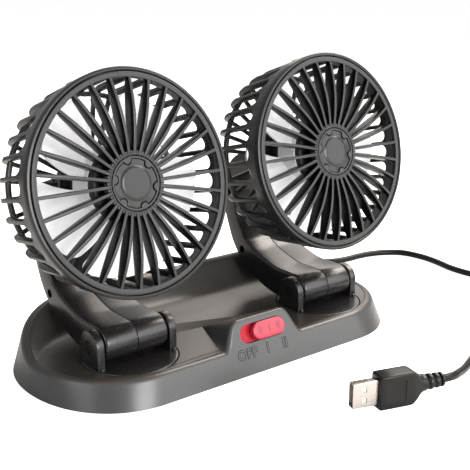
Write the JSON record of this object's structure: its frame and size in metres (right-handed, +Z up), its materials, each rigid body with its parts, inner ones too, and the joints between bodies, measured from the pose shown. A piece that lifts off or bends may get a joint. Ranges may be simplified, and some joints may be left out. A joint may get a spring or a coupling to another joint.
{
  "type": "dual head car fan",
  "caption": "Dual head dashboard fan: two caged heads on bent arms that tilt and swivel on a low tray base with a slide switch and a USB lead.",
  "frame": {"origin": "on the surface that the fan stands on, under the middle of the base", "axes": "+X to the right along the base as the switch is read, +Y to the back, +Z up"},
  "size_m": [0.3168, 0.1906, 0.1503],
  "materials": {
    "graphite_abs": "satin",
    "black_abs": "satin",
    "clear_blade": "translucent",
    "switch_red": "gloss",
    "steel": "bright",
    "soft_grey_pad": "matte",
    "circuit_board": "satin",
    "cord_pvc": "satin",
    "plug_nickel": "bright",
    "white_tongue": "matte"
  },
  "bodies": {
    "base": {"base_shell": "graphite_abs", "base_plate": "black_abs", "switch_liner": "switch_red", "switch_body": "steel", "switch_board": "circuit_board", "cord_gland": "cord_pvc", "cord_coil": "cord_pvc", "cord_to_coil": "cord_pvc", "cord_to_plug": "cord_pvc", "plug_grip": "cord_pvc", "plug_shell": "plug_nickel", "plug_tongue": "white_tongue", "foot_front_left": "soft_grey_pad", "base_screw_front_left": "steel", "foot_front_right": "soft_grey_pad", "base_screw_front_right": "steel", "foot_back_left": "soft_grey_pad", "base_screw_back_left": "steel", "foot_back_right": "soft_grey_pad", "base_screw_back_right": "steel"},
    "slider": {"switch_slider": "switch_red"},
    "left_swivel_body": {"left_turntable": "graphite_abs", "left_swivel_washer": "steel", "left_swivel_screw": "steel", "left_hinge_bolt": "steel", "left_hinge_nut": "steel"},
    "left_arm": {"left_arm_shell_left": "graphite_abs", "left_arm_shell_right": "graphite_abs", "left_arm_screw_lower": "steel", "left_arm_screw_upper": "steel", "left_rear_cage": "graphite_abs", "left_front_grille": "graphite_abs", "left_hub_cap": "graphite_abs", "left_motor": "steel", "left_motor_cover": "black_abs"},
    "left_rotor": {"left_fan_blades": "clear_blade", "left_rotor_hub": "black_abs", "left_motor_shaft": "steel"},
    "right_swivel_body": {"right_turntable": "graphite_abs", "right_swivel_washer": "steel", "right_swivel_screw": "steel", "right_hinge_bolt": "steel", "right_hinge_nut": "steel"},
    "right_arm": {"right_arm_shell_left": "graphite_abs", "right_arm_shell_right": "graphite_abs", "right_arm_screw_lower": "steel", "right_arm_screw_upper": "steel", "right_rear_cage": "graphite_abs", "right_front_grille": "graphite_abs", "right_hub_cap": "graphite_abs", "right_motor": "steel", "right_motor_cover": "black_abs"},
    "right_rotor": {"right_fan_blades": "clear_blade", "right_rotor_hub": "black_abs", "right_motor_shaft": "steel"}
  },
  "joints": [
    {"name": "left_swivel", "type": "hinge", "parent": "base", "child": "left_swivel_body", "pos_m": [-0.0618, -0.0195, 0.0138], "axis": [0, 0, -1], "range_deg": [-175, 175]},
    {"name": "left_tilt", "type": "hinge", "parent": "left_swivel_body", "child": "left_arm", "pos_m": [-0.0618, -0.0195, 0.0234], "axis": [1, 0, 0], "range_deg": [0, 55]},
    {"name": "left_spin", "type": "hinge", "parent": "left_arm", "child": "left_rotor", "pos_m": [-0.0618, -0.0294, 0.0996], "axis": [0, -0.977, 0.213], "continuous": true},
    {"name": "right_swivel", "type": "hinge", "parent": "base", "child": "right_swivel_body", "pos_m": [0.0618, -0.0195, 0.0138], "axis": [0, 0, 1], "range_deg": [-175, 175]},
    {"name": "right_tilt", "type": "hinge", "parent": "right_swivel_body", "child": "right_arm", "pos_m": [0.0618, -0.0195, 0.0234], "axis": [1, 0, 0], "range_deg": [0, 55]},
    {"name": "right_spin", "type": "hinge", "parent": "right_arm", "child": "right_rotor", "pos_m": [0.0618, -0.0294, 0.0996], "axis": [0, -0.977, 0.213], "continuous": true},
    {"name": "switch_slide", "type": "slide", "parent": "base", "child": "slider", "axis": [1, 0, 0], "range_m": [-0.0074, 0]}
  ]
}
